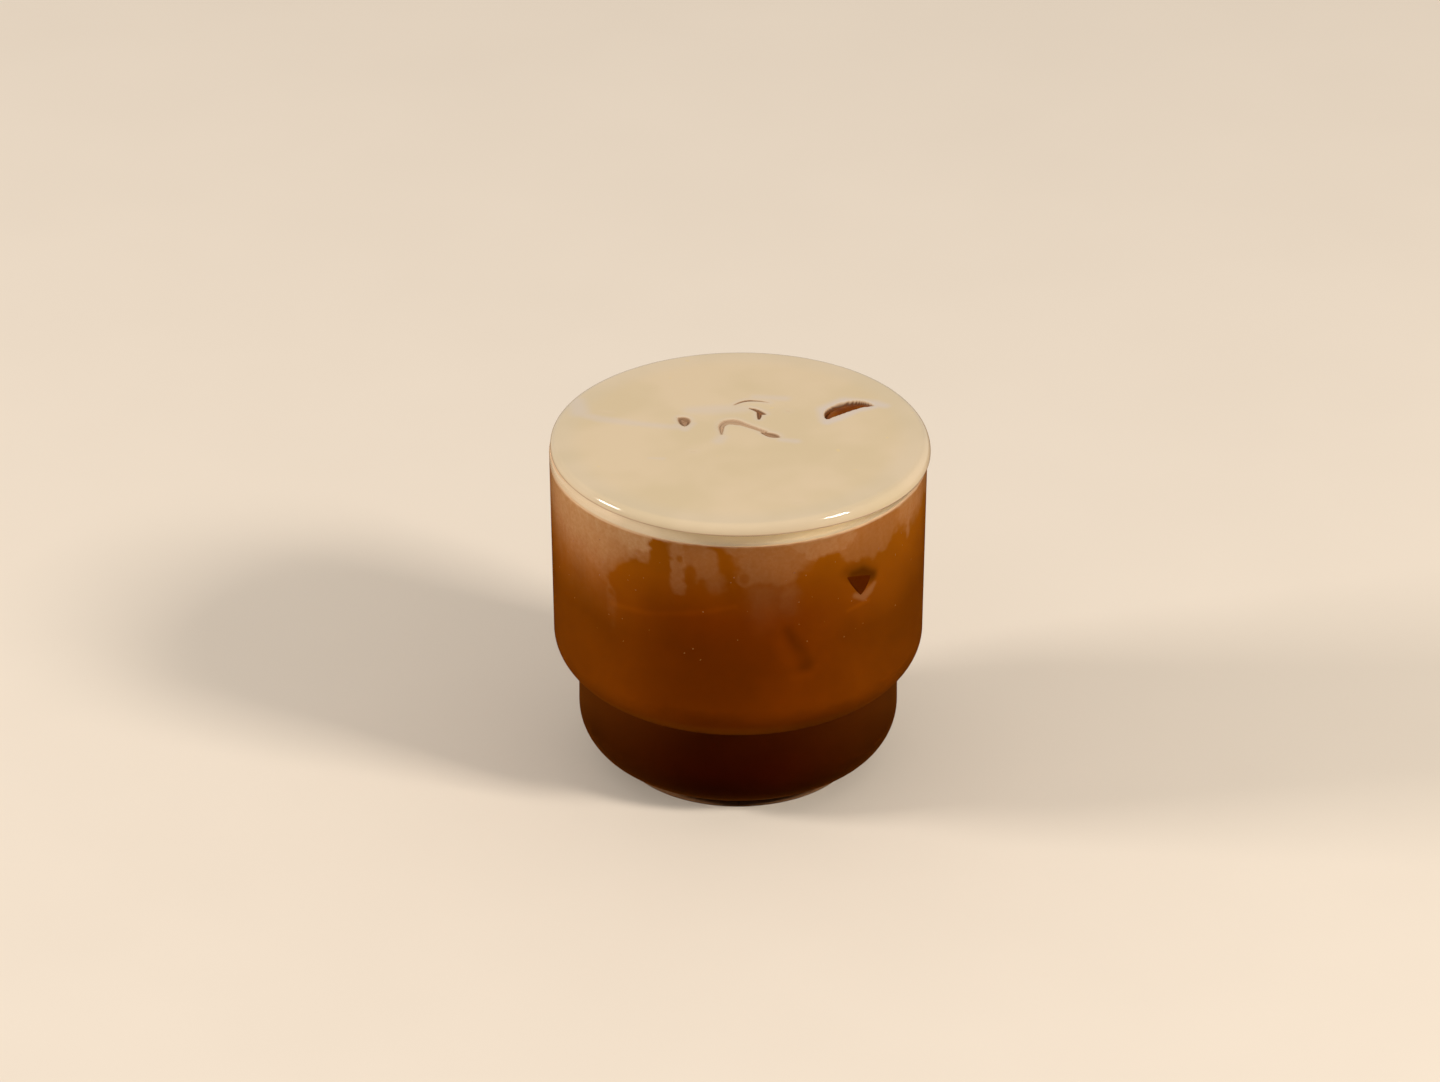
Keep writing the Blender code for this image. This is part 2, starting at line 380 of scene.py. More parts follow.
def bowl_profile(top_z, into_wall, step):
    """The inside of the glass from top_z to the middle of its floor, let into the wall by into_wall."""
    belly_centre = (WAIST_RADIUS - WALL - BOWL_BELLY_ARC[0], WAIST_Z)
    belly_radii = (BOWL_BELLY_ARC[0] + into_wall, BOWL_BELLY_ARC[1] + into_wall)
    foot_r = BOWL_FOOT_RADIUS + into_wall
    belly_end = angle_at_radius(belly_centre[0], belly_radii[0], foot_r)
    foot_centre = (BOWL_FOOT_RADIUS - BOWL_FOOT_ROUND, BOWL_FLOOR_Z + BOWL_FOOT_ROUND)
    foot_radii = (BOWL_FOOT_ROUND + into_wall, BOWL_FOOT_ROUND + into_wall)
    belly = arc(belly_centre, belly_radii, 0, -belly_end)
    foot = arc(foot_centre, foot_radii, 0, -90)
    points = straight((bowl_wall_radius(top_z) + into_wall, top_z), belly[0], step)[:-1]
    points += belly[:-1] + straight(belly[-1], foot[0], step)[:-1] + foot
    return points + straight(foot[-1], (0.0, BOWL_FLOOR_Z - into_wall), 5 * step)[1:]


def outside_profile():
    """The outside of the glass from below the rim down to the middle of its base."""
    belly_centre = (WAIST_RADIUS - BELLY_ARC[0], WAIST_Z)
    belly_end = angle_at_radius(belly_centre[0], BELLY_ARC[0], FOOT_RADIUS)
    foot_centre = (FOOT_RADIUS - FOOT_ARC[0], FOOT_ARC_Z)
    foot_end = angle_at_radius(foot_centre[0], FOOT_ARC[0], HEEL_RADIUS)
    heel_centre = (HEEL_RADIUS - HEEL_ROUND, HEEL_ROUND)
    points = arc(belly_centre, BELLY_ARC, 0, -belly_end)
    points += arc(foot_centre, FOOT_ARC, 0, -foot_end)
    points += arc(heel_centre, (HEEL_ROUND, HEEL_ROUND), 0, -90, 15)
    points.append((PUNT_RADIUS, 0.0))
    punt = [(PUNT_RADIUS * s, PUNT_DEPTH * math.cos(s * math.pi / 2)) for s in (0.9, 0.7, 0.5, 0.25, 0)]
    return points + punt


def make_glass():
    """Up the inside, over the rim and down the outside."""
    inside = bowl_profile(RIM[1], 0.0, 4 * MM)
    inside.reverse()
    over_rim = arc(RIM, (WALL / 2, WALL / 2), 180, 0, 12)[1:]
    return turned("tumbler", inside + over_rim + outside_profile(), GLASS_STEPS)


tumbler = make_glass()
tumbler.visible_shadow = False
keep(tumbler, "glass")

# %% [markdown]
# ## The finish of the glass
# Clear glass, misted on the outside by the cold drink. The mist is far too fine to model: it is
# a slightly uneven roughness. The glass bends light as real glass does, and that decides where the
# lower edge of the foam and the sunk ice are seen. What it mirrors straight on is tinted dark
# amber, because the drink right behind it swallows the rest. Its rim is rougher, or it would mirror
# the lamps in a bright line under the foam. Its heel is tinted brown, as the light there has come
# through the drink. It casts no shadow, so that the lamps reach the drink through it.

# %% Glass finish
GLASS_BENDING = 1.5
MIRROR_TINT = (0.1, 0.04, 0.01, 1.0)
HEEL_TINT = (0.3, 0.1, 0.03, 1.0)
HEEL_TINT_ENDS = (2.0 * MM, 4.5 * MM)
MIST_SIZE = 14 * MM
MIST_ROUGHNESS = 0.025
RIM_ROUGHNESS = 0.12
RIM_SOFTNESS = 0.2 * MM


def add_height(tree, place):
    """How high the shaded point is, in metres."""
    parts = add_node(tree, "SeparateXYZ")
    feed(tree, place, parts.inputs[0])
    return parts.outputs["Z"]


def glass_finish():
    """Clear glass with a thin uneven mist on it."""
    material, tree, shader = new_material("misted_glass")
    place = place_in_object(tree)
    height = add_height(tree, place)
    above_heel = fade(tree, height, *HEEL_TINT_ENDS)
    clear = mix_colours(tree, above_heel, HEEL_TINT, (1.0, 1.0, 1.0, 1.0))
    patches = fade(tree, speckle(tree, place, MIST_SIZE, 3.0), 0.35, 0.7, 0.0, MIST_ROUGHNESS)
    rim = fade(tree, height, RIM[1] - RIM_SOFTNESS, RIM[1] + RIM_SOFTNESS, 0.0, RIM_ROUGHNESS)
    rough = calculate(tree, "MAXIMUM", patches, rim)
    set_sockets(tree, shader, Base_Color=clear, Roughness=rough, Specular_Tint=MIRROR_TINT)
    set_sockets(tree, shader, Transmission_Weight=1.0, IOR=GLASS_BENDING)
    return material


tumbler.data.materials.append(glass_finish())
print("glass finish", tumbler.data.materials[0].name)

# %% [markdown]
# ## The drink
# Cloudy iced coffee fills the bowl. It reaches a tenth of a millimetre into the wall, because
# with an air gap the glass would look empty. Its upper part is cut finely, as it carries the
# ragged veil that foam leaves on the inside of the glass.

# %% Shape of the drink
INTO_WALL = 0.12 * MM
INTO_FOAM = 0.2 * MM
COFFEE_STEPS = 600
VEIL_STEP = 0.4 * MM
VEIL_LOWEST_Z = 44 * MM


def make_coffee():
    """The bowl's own form, let a little into the wall and into the foam."""
    top_z = COFFEE_TOP_Z + INTO_FOAM
    corner = (bowl_wall_radius(top_z) + INTO_WALL, top_z)
    veil_end = (bowl_wall_radius(VEIL_LOWEST_Z) + INTO_WALL, VEIL_LOWEST_Z)
    profile = straight((0.0, top_z), corner, 8 * MM)[:-1] + straight(corner, veil_end, VEIL_STEP)[:-1]
    return turned("iced_coffee", profile + bowl_profile(VEIL_LOWEST_Z, INTO_WALL, 2 * MM), COFFEE_STEPS)


coffee = make_coffee()
keep(coffee, "coffee")

# %% [markdown]
# ## Painting by place
# The drink's clouds and the foam's hollows don't follow any ready texture. They are worked out
# at every point of the mesh by a rule and kept there as a number, an attribute, that the finish
# reads. Places on the wall are given by the bearing round the glass, in degrees from the front
# and positive to the right, and the height in millimetres.

# %% Places and attributes
NOISE_STEP = Vector((17.0, 5.0, 29.0))


def points_of(piece):
    """All points of a mesh as an array, in mm."""
    places = np.empty(len(piece.data.vertices) * 3, np.float32)
    piece.data.vertices.foreach_get("co", places)
    return places.reshape(-1, 3).astype(float) / MM


def keep_attribute(piece, name, values):
    """One number for each point of the mesh, under a name."""
    attribute = piece.data.attributes.new(name, "FLOAT", "POINT")
    attribute.data.foreach_set("value", np.asarray(values, np.float32))


def smooth_step(value, low, high):
    """0 where value is at low or under, 1 where it is at high or over, and smooth between."""
    share = np.clip((value - low) / (high - low), 0.0, 1.0)
    return share * share * (3 - 2 * share)


def wander(places, size, seed):
    """Cloudy noise between about -1 and 1 at each place, with blotches of that size in mm."""
    return np.array([noise.noise(Vector(p) / size + NOISE_STEP * seed) for p in places])


# %% [markdown]
# ## The veil on the inside of the glass
# Where foam has run down the inside it leaves a paler veil, with ragged edges and clear windows
# between its tongues. Each tongue and window is an ellipse on the wall. Noise bends its outline,
# and the veil thins towards the bottom. Round the back, where nothing is shown, tongues are drawn
# from a seeded list. At the sides the foam has also crept a little way down the wall, which shows
# as a pale line along the top of the drink.

# %% Shape of the veil
# Bearing, height, half width and half height in mm, strength, and how soft the edge is
VEIL_TONGUES = [
    (-62, 75, 22, 15, 0.74, 0.7), (-37, 78, 9.5, 5.5, 0.7, 0.2), (-43.5, 60, 1.7, 7, 0.55, 0.5),
    (-12.5, 73, 4.7, 5, 0.24, 0.2), (-19.5, 71, 2.3, 7.2, 0.32, 0.2), (-7.5, 68, 2.2, 3, 0.2, 0.5),
    (11, 73.5, 8.5, 6.5, 0.26, 0.25), (1.5, 77, 4, 2, 0.26, 0.3), (8, 62, 3.5, 6, 0.22, 0.8),
    (16, 62.5, 2.5, 4, 0.22, 0.7), (46, 77, 12, 8.5, 0.22, 0.12), (70, 76, 8, 6, 0.4, 0.4),
    (28, 77, 8.5, 4.8, 0.38, 0.15), (66, 71.5, 0.9, 4, 0.4, 0.5), (1.7, 69.6, 1.6, 2.0, 0.18, 0.3),
]
VEIL_WINDOWS = [
    (-33, 62.5, 8.3, 8.2, 1.0, 0.12), (-25.2, 71, 2.6, 7, 1.0, 0.12), (-15.3, 69.4, 1.5, 2.2, 0.9, 0.3),
    (-18.5, 73.4, 0.6, 0.9, 0.8, 0.4), (29.5, 65, 4.2, 8.6, 1.0, 0.1), (1.7, 69.6, 0.9, 1.1, 0.6, 0.3),
]
# The strength, the blotches in mm and the seed of the noise that bends the outlines
VEIL_BENDS = [(0.55, 3.2, 1), (0.4, 1.3, 2)]
VEIL_THINS = (56, 78)
VEIL_THINNEST = 0.12
WALL_MM_PER_DEGREE = math.pi / 180 * (RIM_RADIUS - WALL) / MM
# How far the foam has crept down the wall at the sides, and how soft its edge is, in mm
SIDE_CREEP = 0.6
CREEP_EDGE = (-0.3, 0.2)


def in_ellipse(bearing, z, ellipse, ragged):
    """The ellipse's strength inside its outline, fading to 0 just outside, at each point."""
    middle_bearing, middle_z, half_width, half_height, strength, soft = ellipse
    across = ((bearing - middle_bearing + 180) % 360 - 180) * WALL_MM_PER_DEGREE / half_width
    up = (z - middle_z) / half_height
    out = np.hypot(across, up) + ragged / math.sqrt(min(half_width, half_height))
    return strength * smooth_step(out, 1 + soft, 1 - soft)


def tongues_behind():
    """Tongues of the veil round the back of the glass."""
    rng = np.random.default_rng(7)
    tongues = []
    for bearing in np.arange(92, 262, 11):
        size = (rng.uniform(3, 10), rng.uniform(4, 10))
        z = rng.uniform(70, 78)
        tongues.append((bearing, z, *size, rng.uniform(0.3, 0.75), rng.uniform(0.08, 0.3)))
    return tongues


def veil_thickness(places, bearing):
    """How thick the veil is at each point: 0 none, 1 thickest."""
    z = places[:, 2]
    ragged = sum(strength * wander(places, size, seed) for strength, size, seed in VEIL_BENDS)
    streaks = wander(places * (1.0, 1.0, 0.25), 1.4, 3)
    tongues = [in_ellipse(bearing, z, t, ragged) for t in VEIL_TONGUES + tongues_behind()]
    windows = [in_ellipse(bearing, z, w, ragged) for w in VEIL_WINDOWS]
    thick = np.max(tongues, axis=0) * (1 - np.max(windows, axis=0))
    thins = VEIL_THINNEST + (1 - VEIL_THINNEST) * smooth_step(z, *VEIL_THINS)
    return thick * thins * (1 + 0.2 * streaks)


def foam_creep(places, bearing):
    """1 where foam lies between the drink and the glass, close under the drink's level."""
    level = COFFEE_TOP_Z / MM - SIDE_CREEP * np.sin(np.radians(bearing)) ** 2
    level -= 0.12 * wander(places * (1.0, 1.0, 0.0), 2.0, 5)
    return smooth_step(places[:, 2], level + CREEP_EDGE[0], level + CREEP_EDGE[1])


coffee_places = points_of(coffee)
coffee_bearing = np.degrees(np.arctan2(coffee_places[:, 0], -coffee_places[:, 1]))
veil = veil_thickness(coffee_places, coffee_bearing)
keep_attribute(coffee, "veil", veil)
keep_attribute(coffee, "creep", foam_creep(coffee_places, coffee_bearing))
print("veil covers", round(100 * float(np.mean(veil > 0.2))), "% of the points")

# %% [markdown]
# ## Clouds in the drink
# The coffee is darkest in the middle of the front and the back. Its sides are painted light:
# they are a little lighter, where light shines through less of the drink.
# A few faint shapes lie just behind the wall: a curved line where the drink once stood, the
# side of a sunk block of ice, and the dark shade round another block that touches the wall, with
# a bright line and a pale smear under it. They are soft strokes: lines on the wall with a half
# width, lighter or darker than what is round them.

# %% Shades in the drink
# Each is its lightness, how soft its edge is in mm, and points of bearing, height and half width
WALL_STROKES = [
    (0.16, 0.9, [(-44, 56.4, 0.3), (-30, 57.2, 0.3), (-18.6, 58.9, 0.3), (-8, 60.6, 0.3), (-1, 62.0, 0.2)]),
    (0.18, 2.4, [(13.5, 51.0, 0.8), (17.0, 46.8, 1.6)]),
    (-0.24, 2.0, [(15.9, 54.6, 0.4), (19.0, 49.5, 0.8), (21.8, 44.9, 1.2)]),
    (0.16, 1.2, [(17.5, 42.6, 0.4), (21.5, 41.8, 0.6), (25.8, 43.3, 0.3)]),
    (-0.3, 2.6, [(36.5, 66.6, 0.6), (41.5, 65.8, 1.2), (46.5, 63.6, 0.8)]),
    (-0.32, 1.5, [(38.5, 65.0, 0.8), (42.0, 64.5, 1.5), (46.5, 62.8, 1.0)]),
    (0.24, 0.8, [(36.7, 56.2, 0.1), (40.7, 56.7, 0.3), (45.0, 56.8, 0.2)]),
]
VEIL_SMEARS = [
    (0.19, 0.9, [(47.7, 60.6, 0.2), (45.8, 59.4, 0.7), (43.3, 58.4, 0.8), (39.5, 59.6, 0.3)]),
]


def stroke_margin(x, y, stroke):
    """How far inside a stroke each point lies, in mm, or outside it where negative."""
    best = np.full(len(x), -1e3)
    for (ax, ay, aw), (bx, by, bw) in zip(stroke[:-1], stroke[1:]):
        along = np.array((bx - ax, by - ay))
        share = ((x - ax) * along[0] + (y - ay) * along[1]) / float(along @ along)
        share = np.clip(share, 0.0, 1.0)
        away = np.hypot(x - ax - share * along[0], y - ay - share * along[1])
        best = np.maximum(best, aw + (bw - aw) * share - away)
    return best


def wall_strokes(places, bearing, strokes):
    """The sum of soft strokes on the wall at each point: 0 none."""
    total = np.zeros(len(places))
    for strength, soft, stroke in strokes:
        on_wall = [(b * WALL_MM_PER_DEGREE, z, w) for b, z, w in stroke]
        margin = stroke_margin(bearing * WALL_MM_PER_DEGREE, places[:, 2], on_wall)
        total += strength * smooth_step(margin, -soft, 0.3 * soft)
    return total


# Painted light: the sides of the drink are painted lighter, where light shines through less of it
sideways = np.abs(np.sin(np.radians(coffee_bearing)))
keep_attribute(coffee, "side", smooth_step(sideways, 0.15, 1.0))
keep_attribute(coffee, "shade", wall_strokes(coffee_places, coffee_bearing, WALL_STROKES))
keep_attribute(coffee, "smear", wall_strokes(coffee_places, coffee_bearing, VEIL_SMEARS))
print(len(WALL_STROKES), "strokes on the wall")

# %% [markdown]
# ## The colour of the drink
# Cloudy coffee looks lightest near the top, where light comes in through the foam, and almost
# black in the foot. Its colour is set by height, once for the middle and once for the sides, and
# measured on the object, so it holds from every side. These colours are painted light and shade:
# lighter near the top, almost black in the foot, lighter at the sides, and a lighter band just
# above the crease, where the belly's underside faces down and gets little light. The colours are
# given as they are seen. A wall in the shade of its own foam gets less light than the floor, so
# they are made lighter by one factor before the shader uses them.

# %% Coffee finish
SHADED_WALL = 1.03
# Painted light and shade by height: light near the top, dark in the foot, and a light band just above the
# crease
MIDDLE_LIT_BY_HEIGHT = [
    (5, (34, 7, 0)), (14, (44, 9, 1)), (25.9, (52, 14, 1)), (26.5, (118, 62, 4)), (29.5, (99, 42, 1)),
    (50, (96, 40, 1)), (58, (103, 43, 1)), (64, (110, 51, 1)), (72, (122, 63, 3)), (78, (126, 67, 5)),
]
# The same for the sides, which are painted lighter as painted light
SIDES_LIT_BY_HEIGHT = [
    (5, (42, 14, 1)), (14, (50, 19, 1)), (25.9, (66, 27, 2)), (26.5, (128, 70, 6)), (29.5, (99, 46, 2)),
    (50, (95, 46, 2)), (62, (120, 63, 6)), (72, (130, 72, 7)), (78, (136, 76, 8)),
]
VEIL_COLOUR = (167, 129, 90)
CREEP_COLOUR = (196, 164, 128)
CLOUD_SIZE = 18 * MM
CLOUD_CHANGE = 0.08
GRAIN_SIZE = 0.9 * MM
GRAIN_FACTORS = (0.85, 1.1)


def on_shaded_wall(r, g, b):
    """The paint that looks like that colour on the shaded wall."""
    return tuple(channel * SHADED_WALL for channel in linear(r, g, b)[:3]) + (1.0,)


def colour_ramp(tree, share, stops, paint=linear):
    """A colour from a ramp. Each stop is a share and a colour as seen."""
    ramp = add_node(tree, "ValToRGB")
    feed(tree, share, ramp.inputs[0])
    band = ramp.color_ramp
    for place, colour in stops[1:-1]:
        band.elements.new(place).color = paint(*colour)
    band.elements[0].color = paint(*stops[0][1])
    band.elements[-1].color = paint(*stops[-1][1])
    return ramp.outputs["Color"]


def share_of_height(tree, place, low, high):
    """0 at the height low and 1 at the height high, in mm, as measured up the object."""
    above = calculate(tree, "SUBTRACT", add_height(tree, place), low * MM)
    return calculate(tree, "DIVIDE", above, (high - low) * MM)


def colour_by_height(tree, place, stops):
    """A colour that changes smoothly up the object. Each stop is a height in mm and a colour."""
    low = stops[0][0]
    high = stops[-1][0]
    shares = [((z - low) / (high - low), colour) for z, colour in stops]
    return colour_ramp(tree, share_of_height(tree, place, low, high), shares, on_shaded_wall)


def attribute(tree, name):
    """The number that the mesh keeps under that name."""
    return add_node(tree, "Attribute", attribute_name=name).outputs["Fac"]


def lighten(tree, colour, amount):
    """The colour made lighter where amount is over 0, and darker where it is under."""
    node = add_node(tree, "VectorMath", operation="SCALE")
    feed(tree, colour, node.inputs[0])
    feed(tree, calculate(tree, "ADD", amount, 1.0), node.inputs["Scale"])
    return node.outputs[0]


def coffee_finish():
    """Cloudy coffee with painted light and shade, and the veil of foam on top of it."""
    material, tree, shader = new_material("cloudy_coffee")
    place = place_in_object(tree)
    middle_lit_colour = colour_by_height(tree, place, MIDDLE_LIT_BY_HEIGHT)
    sides_lit_colour = colour_by_height(tree, place, SIDES_LIT_BY_HEIGHT)
    body = mix_colours(tree, attribute(tree, "side"), middle_lit_colour, sides_lit_colour)
    cloud = fade(tree, speckle(tree, place, CLOUD_SIZE), 0.3, 0.7, -CLOUD_CHANGE, CLOUD_CHANGE)
    body = lighten(tree, body, calculate(tree, "ADD", cloud, attribute(tree, "shade")))
    grain = fade(tree, speckle(tree, place, GRAIN_SIZE, 3.0), 0.3, 0.7, *GRAIN_FACTORS)
    thick = calculate(tree, "MULTIPLY", attribute(tree, "veil"), grain)
    thick = calculate(tree, "ADD", thick, attribute(tree, "smear"))
    colour = mix_colours(tree, thick, body, on_shaded_wall(*VEIL_COLOUR))
    colour = mix_colours(tree, attribute(tree, "creep"), colour, linear(*CREEP_COLOUR))
    set_sockets(tree, shader, Base_Color=colour, Roughness=0.6, Specular_IOR_Level=0.0)
    return material


coffee.data.materials.append(coffee_finish())
print("coffee finish", coffee.data.materials[0].name)

# %% [markdown]
# ## Sunk ice at the wall
# One corner of a sunk block touches the glass at the right and shows as a small dark triangle.
# The drink is opaque here, so the corner is a thin, slightly domed patch that follows the wall
# and stands a little out of the drink. It is a triangle cut into a fine grid, and each point is
# then laid on the wall.

# %% Shape of the sunk ice
SUNK_CORNERS = [(34.5, 66.1), (47.4, 63.5), (42.0, 58.0)]
SUNK_STEPS = 24
SUNK_OUT = 0.06 * MM
SUNK_IN = 0.5 * MM
SUNK_ROUNDING = 0.18
SUNK_EDGE_SHARE = 6
SUNK_CORNER_SHARE = 4
SUNK_BACK = 0.95
SUNK_BLOTCHES = 1.2 * MM
# The heights in mm over which the sunk ice is shaded; its upper half turns to the top's colour
SUNK_SHADE_HEIGHTS = (60, 66)
SUNK_COLOURS = ((62, 20, 0), (72, 28, 2))
SUNK_TOP_COLOUR = (68, 26, 1)


def on_wall(bearing, z, out):
    """The point of the drink's surface at a bearing and a height, moved outwards."""
    r = bowl_wall_radius(z) + INTO_WALL + out
    angle = math.radians(bearing)
    return Vector((r * math.sin(angle), -r * math.cos(angle), z))


def sunk_corner():
    """A domed triangular patch on the wall, closed behind by a point inside the drink."""
    points = []
    rows = []
    for i in range(SUNK_STEPS + 1):
        row = []
        for j in range(SUNK_STEPS + 1 - i):
            shares = (1 - (i + j) / SUNK_STEPS, i / SUNK_STEPS, j / SUNK_STEPS)
            # 1 in the middle of the triangle and 0 on its sides
            inside = 27 * shares[0] * shares[1] * shares[2]
            corner_share = 1 - min(SUNK_CORNER_SHARE * inside, 1.0)
            even = [s + SUNK_ROUNDING * (1 / 3 - s) * corner_share for s in shares]
            bearing = sum(s * corner[0] for s, corner in zip(even, SUNK_CORNERS))
            z = sum(s * corner[1] for s, corner in zip(even, SUNK_CORNERS)) * MM
            out = SUNK_OUT * min(SUNK_EDGE_SHARE * inside, 1.0) - SUNK_IN * (inside == 0)
            row.append(len(points))
            points.append(on_wall(bearing, z, out))
        rows.append(row)
    faces = []
    for lower, upper in zip(rows[:-1], rows[1:]):
        faces += [(lower[k], upper[k], lower[k + 1]) for k in range(len(upper))]
        faces += [(lower[k + 1], upper[k], upper[k + 1]) for k in range(len(upper) - 1)]
    rim = rows[0] + [row[-1] for row in rows[1:]] + [row[0] for row in rows[-2:0:-1]]
    back = len(points)
    points.append(sum(points, Vector()) / back * SUNK_BACK)
    faces += [(a, b, back) for a, b in zip(rim, rim[1:] + rim[:1])]
    mesh = bpy.data.meshes.new("sunk_ice")
    mesh.from_pydata(points, [], faces)
    return mesh


def face_outwards(mesh):
    """Turn all faces of a closed mesh outwards."""
    shape = bmesh.new()
    shape.from_mesh(mesh)
    bmesh.ops.recalc_face_normals(shape, faces=shape.faces)
    shape.to_mesh(mesh)
    shape.free()
    mesh.shade_smooth()


def sunk_finish():
    """Dark wet ice with the coffee behind it, uneven like the melted face of a block."""
    material, tree, shader = new_material("sunk_ice")
    place = place_in_object(tree)
    uneven = speckle(tree, place, SUNK_BLOTCHES, 3.0)
    height = share_of_height(tree, place, *SUNK_SHADE_HEIGHTS)
    dark = seen_between(tree, uneven, SUNK_COLOURS, on_shaded_wall)
    colour = mix_colours(tree, fade(tree, height, 0.5, 1.0), dark, on_shaded_wall(*SUNK_TOP_COLOUR))
    set_sockets(tree, shader, Base_Color=colour, Roughness=0.6, Specular_IOR_Level=0.0)
    return material


sunk_ice = add_object("sunk_ice", sunk_corner())
face_outwards(sunk_ice.data)
sunk_ice.data.materials.append(sunk_finish())
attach(sunk_ice, "root")
print("sunk ice", len(sunk_ice.data.polygons), "faces")

# %% [markdown]
# ## Bubbles on the wall
# Small bubbles of air cling to the inside of the glass, mostly where the veil ends. They are tiny
# balls, half sunk in the drink, joined in one mesh, so that they are real shapes from every side.
# Their places come from a seeded list.

# %% Bubbles
BUBBLE_COUNT = 110
BUBBLE_SIZES = (0.08 * MM, 0.2 * MM)
# Lowest, most common and highest
BUBBLE_HEIGHTS = (42, 70, 76)
BUBBLE_COLOURS = ((108, 54, 16), (140, 86, 46))
BUBBLE_PATCHES = 4 * MM


def make_bubbles():
    """All bubbles as one mesh of small balls."""
    rng = np.random.default_rng(11)
    shape = bmesh.new()
    for _ in range(BUBBLE_COUNT):
        z = rng.triangular(*BUBBLE_HEIGHTS) * MM
        place = on_wall(rng.uniform(-180, 180), z, 0.0)
        radius = rng.uniform(*BUBBLE_SIZES)
        matrix = Matrix.Translation(place)
        bmesh.ops.create_icosphere(shape, subdivisions=2, radius=radius, matrix=matrix)
    mesh = bpy.data.meshes.new("wall_bubbles")
    shape.to_mesh(mesh)
    shape.free()
    mesh.shade_smooth()
    return mesh


def bubble_finish():
    """Pale film with the coffee showing through, a little different from bubble to bubble."""
    material, tree, shader = new_material("bubble_film")
    patches = speckle(tree, place_in_object(tree), BUBBLE_PATCHES)
    colour = seen_between(tree, patches, BUBBLE_COLOURS, on_shaded_wall)
    set_sockets(tree, shader, Base_Color=colour, Roughness=0.3, Specular_IOR_Level=0.2)
    return material


bubbles = add_object("wall_bubbles", make_bubbles())
bubbles.data.materials.append(bubble_finish())
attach(bubbles, "root")
print(BUBBLE_COUNT, "bubbles,", len(bubbles.data.polygons), "faces")

# %% [markdown]
# ## The foam
# The cap of foam starts three millimetres below the rim, covers the rim and stands two or three
# millimetres above it, with a round edge like that of any liquid filled past the brim. It isn't
# even: it is heaped towards the front right, it hangs over the rim and sags a little at the right,
# and it stays on top of the rim at the left. It could be modelled by hand, but a turned cap whose
# points are moved by a few smooth rules keeps its round edge clean.

# %% Shape of the foam
FOAM_EDGE_ROUND = 1.9 * MM
FOAM_EDGE_Z = GLASS_HEIGHT + 0.4 * MM
FOAM_CROWN = 0.4 * MM
HEAP = 0.6 * MM
HEAP_ANGLE = -50
# Each is its size, the direction in which it is largest and its spread to each side, in degrees
OVERHANG = (1.0 * MM, -22, 55)
SAG = (0.8 * MM, -22, 55)
INSET = (0.4 * MM, -150, 75)
EDGE_FROM_RADIUS = 40.0 * MM
FOAM_STEPS = 512
FOAM_STEP = 0.3 * MM
INTO_RIM = 0.05 * MM
LIP_LOWEST_Z = GLASS_HEIGHT + 0.15 * MM
OVER_RIM_Z = GLASS_HEIGHT - 0.3 * MM


def foam_top_z(r):
    """The height of the foam's gently crowned top at radius r, before it is heaped to one side."""
    share = np.minimum(r / (RIM_RADIUS - FOAM_EDGE_ROUND), 1.0)
    return FOAM_EDGE_Z + FOAM_EDGE_ROUND + FOAM_CROWN * (1 - share ** 2)


def foam_profile():
    """Crowned top, round edge, over the rim and down inside it into the drink."""
    edge_r = RIM_RADIUS - FOAM_EDGE_ROUND
    count = round(edge_r / FOAM_STEP)
    top = [(edge_r * i / count, foam_top_z(edge_r * i / count)) for i in range(count)]
    edge = arc((edge_r, FOAM_EDGE_Z), (FOAM_EDGE_ROUND, FOAM_EDGE_ROUND), 90, -5, 5)
    rim_round = WALL / 2 - INTO_RIM
    over_rim = arc(RIM, (rim_round, rim_round), 60, 180, 10)
    bottom = (bowl_wall_radius(COFFEE_TOP_Z) + INTO_WALL / 2, COFFEE_TOP_Z)
    wall = straight((over_rim[-1][0], RIM[1] - 0.3 * MM), bottom, 0.4 * MM)
    return top + edge + over_rim + wall + [(0.0, COFFEE_TOP_Z)]


def bump_towards(x, y, bump):
    """A smooth bump round the rim: its size in one direction, nothing past its spread in degrees."""
    size, angle, spread = bump
    away = (np.degrees(np.arctan2(y, x)) - angle + 180) % 360 - 180
    return np.where(np.abs(away) < spread, size * (1 + np.cos(np.pi * away / spread)) / 2, 0.0)


def heap_at(x, y):
    """How much higher than level the foam stands at a place in plan."""
    angle = math.radians(HEAP_ANGLE)
    return HEAP * (x * math.cos(angle) + y * math.sin(angle)) / RIM_RADIUS


def shape_foam_cap(x, y, z):
    """Heap the cap to one side, hang it over the rim at the right and draw it in at the left."""
    share_up = np.clip((z - FOAM_EDGE_Z) / FOAM_EDGE_ROUND, 0.0, 1.0)
    r = np.maximum(np.hypot(x, y), FOAM_STEP)
    share_out = np.clip((r - EDGE_FROM_RADIUS) / (RIM_RADIUS - EDGE_FROM_RADIUS), 0.0, 1.0)
    over_rim = z > OVER_RIM_Z
    on_lip = z > LIP_LOWEST_Z
    shift = np.where(on_lip, bump_towards(x, y, OVERHANG), 0.0)
    shift -= np.where(over_rim, bump_towards(x, y, INSET), 0.0)
    new_r = r + shift * share_out
    on_rim = RIM[1] + np.sqrt(np.maximum((WALL / 2 - INTO_RIM) ** 2 - (new_r - RIM[0]) ** 2, 0.0))
    lifted = np.where(over_rim & (shift < 0), np.maximum(z, on_rim), z)
    sag = np.where(on_lip, bump_towards(x, y, SAG) * (1 - share_up), 0.0)
    return x * new_r / r, y * new_r / r, lifted + heap_at(x, y) * share_up - sag


foam = turned("foam_cap", foam_profile(), FOAM_STEPS)
keep(foam, "foam")

